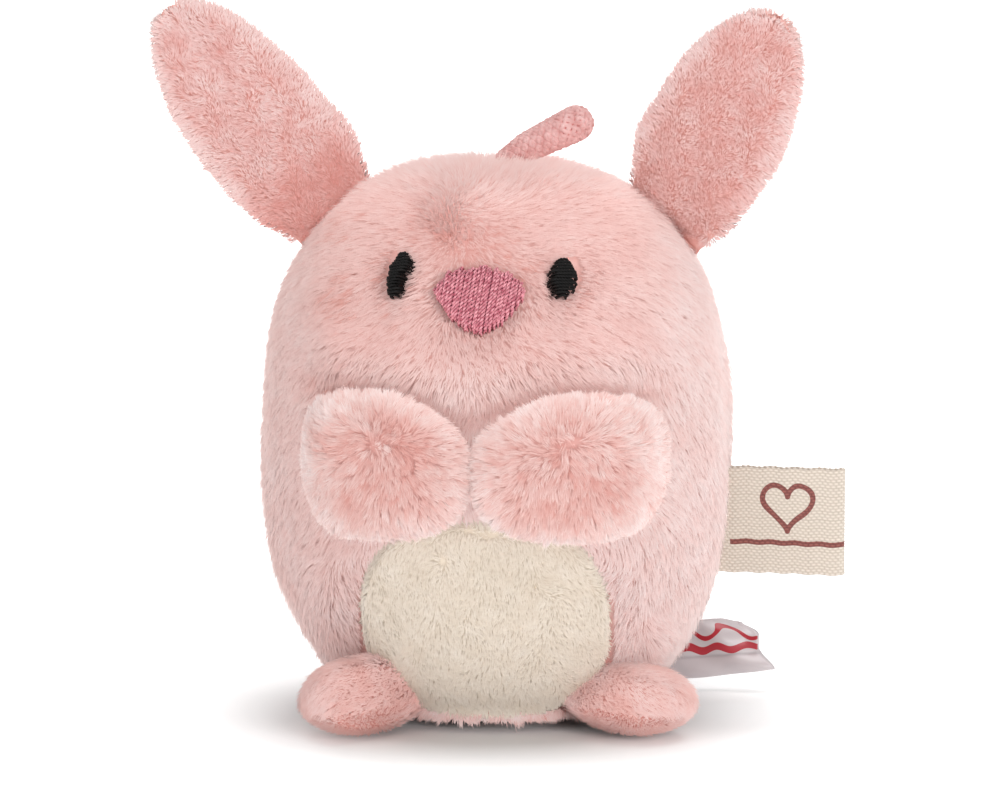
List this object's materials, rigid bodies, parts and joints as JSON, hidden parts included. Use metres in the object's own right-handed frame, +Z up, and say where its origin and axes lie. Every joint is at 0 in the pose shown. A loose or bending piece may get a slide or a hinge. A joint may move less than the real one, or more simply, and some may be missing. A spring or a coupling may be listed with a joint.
{
  "type": "stuffed bunny rabbit",
  "caption": "Small soft plush bunny with an egg-shaped body, floppy ears, folded arms, splayed feet, belly patch, embroidered face, hanging loop and sewn-in labels.",
  "frame": {"origin": "on the floor under the middle of the body", "axes": "+Z up, the face looks along -Y, +X is the bunny's own left"},
  "size_m": [0.069, 0.0564, 0.0719],
  "materials": {
    "pink_plush": "long soft pile",
    "ear_plush": "short curly pile",
    "cream_plush": "short brushed pile",
    "rose_thread": "satin stitch",
    "black_thread": "satin stitch",
    "pink_cord": "braided cord",
    "cream_ribbon": "woven ribbon",
    "satin_ribbon": "satin ribbon",
    "fibre_fill": "loose fibre",
    "pellet_cloth": "plain woven cloth"
  },
  "bodies": {
    "torso": {"body_front_panel": "pink_plush", "body_back_panel_left": "pink_plush", "body_back_panel_right": "pink_plush", "base_panel": "pink_plush", "belly_patch": "cream_plush", "body_filling": "fibre_fill", "pellet_bag": "pellet_cloth", "nose_embroidery": "rose_thread", "eye_embroidery_left": "black_thread", "eye_embroidery_right": "black_thread", "loop_bartack": "rose_thread", "closing_seam_thread": "pink_cord"},
    "ear_left": {"ear_front_panel_left": "ear_plush", "ear_back_panel_left": "pink_plush"},
    "arm_left": {"arm_front_panel_left": "pink_plush", "arm_back_panel_left": "pink_plush", "arm_filling_left": "fibre_fill"},
    "foot_left": {"foot_top_panel_left": "ear_plush", "foot_sole_panel_left": "ear_plush", "foot_filling_left": "fibre_fill"},
    "ear_right": {"ear_front_panel_right": "ear_plush", "ear_back_panel_right": "pink_plush"},
    "arm_right": {"arm_front_panel_right": "pink_plush", "arm_back_panel_right": "pink_plush", "arm_filling_right": "fibre_fill"},
    "foot_right": {"foot_top_panel_right": "ear_plush", "foot_sole_panel_right": "ear_plush", "foot_filling_right": "fibre_fill"},
    "tail": {"tail_cover": "cream_plush", "tail_filling": "fibre_fill"},
    "loop": {"hanging_loop": "pink_cord"},
    "flag_label": {"flag_label": "cream_ribbon"},
    "care_label": {"care_label": "satin_ribbon"}
  },
  "joints": [
    {"name": "ear_left_flop", "type": "hinge", "parent": "torso", "child": "ear_left", "pos_m": [0.01836, 0, 0.05196], "axis": [0.71, 0, -0.7042], "range_deg": [-75, 58], "stiffness_Nm_per_rad": 0.004},
    {"name": "ear_right_flop", "type": "hinge", "parent": "torso", "child": "ear_right", "pos_m": [-0.01836, 0, 0.05196], "axis": [0.71, 0, 0.7042], "range_deg": [-65, 70], "stiffness_Nm_per_rad": 0.004},
    {"name": "arm_left_swing", "type": "hinge", "parent": "torso", "child": "arm_left", "pos_m": [0.01859, -0.01334, 0.0279], "axis": [0, 0, 1], "range_deg": [0, 60], "stiffness_Nm_per_rad": 0.004},
    {"name": "arm_right_swing", "type": "hinge", "parent": "torso", "child": "arm_right", "pos_m": [-0.01859, -0.01334, 0.0279], "axis": [0, 0, -1], "range_deg": [0, 60], "stiffness_Nm_per_rad": 0.004},
    {"name": "foot_left_bend", "type": "hinge", "parent": "torso", "child": "foot_left", "pos_m": [0.0081, -0.00729, 0.001], "axis": [-0.6691, -0.7431, 0], "range_deg": [0, 6], "stiffness_Nm_per_rad": 0.004},
    {"name": "foot_right_bend", "type": "hinge", "parent": "torso", "child": "foot_right", "pos_m": [-0.00656, -0.00755, 0.001], "axis": [-0.7547, 0.6561, 0], "range_deg": [0, 6], "stiffness_Nm_per_rad": 0.004},
    {"name": "tail_wobble", "type": "hinge", "parent": "torso", "child": "tail", "pos_m": [0, 0.01853, 0.0099], "axis": [0, 0, 1], "range_deg": [-14, 14], "stiffness_Nm_per_rad": 0.004},
    {"name": "loop_swing", "type": "hinge", "parent": "torso", "child": "loop", "pos_m": [0.0016, 0, 0.05679], "axis": [0, 1, 0], "range_deg": [-120, 3], "stiffness_Nm_per_rad": 0.001},
    {"name": "flag_label_flap", "type": "hinge", "parent": "torso", "child": "flag_label", "pos_m": [0.0243, 0, 0.01975], "axis": [0, 0, 1], "range_deg": [-50, 50], "stiffness_Nm_per_rad": 0.001},
    {"name": "care_label_flap", "type": "hinge", "parent": "torso", "child": "care_label", "pos_m": [0.0138, 0.0129, 0.0044], "axis": [0, 0, 1], "range_deg": [-18, 25], "stiffness_Nm_per_rad": 0.001}
  ]
}
